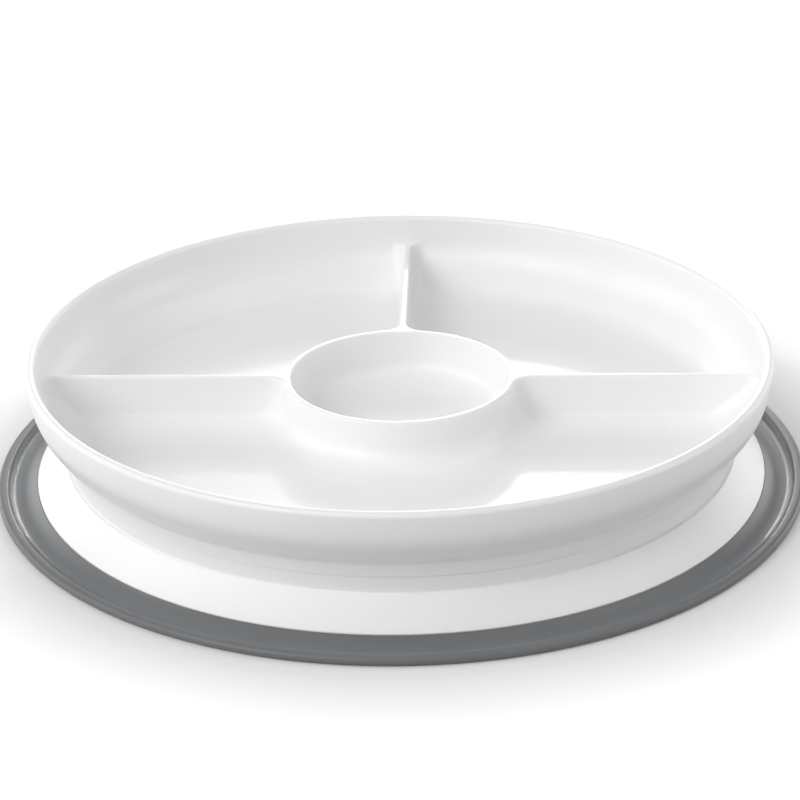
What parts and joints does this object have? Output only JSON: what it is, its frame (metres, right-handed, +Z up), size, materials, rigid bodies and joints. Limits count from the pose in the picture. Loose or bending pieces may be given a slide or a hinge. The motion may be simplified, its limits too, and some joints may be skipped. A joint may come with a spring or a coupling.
{
  "type": "toddler's divided suction plate",
  "caption": "Round divided dish with a centre cup on a flared skirt, held to the table by a soft suction ring.",
  "frame": {"origin": "centre of the foot, on the table", "axes": "+Z up out of the dish, -Y towards the large front compartment, the two side dividers along X and the third along +Y"},
  "size_m": [0.226, 0.226, 0.038],
  "materials": {
    "white_polypropylene": "satin moulded, smooth",
    "grey_silicone": "soft matt silicone"
  },
  "bodies": {
    "root": {"divided_plate": "white_polypropylene", "base_skirt": "white_polypropylene", "suction_ring": "grey_silicone"}
  },
  "joints": []
}
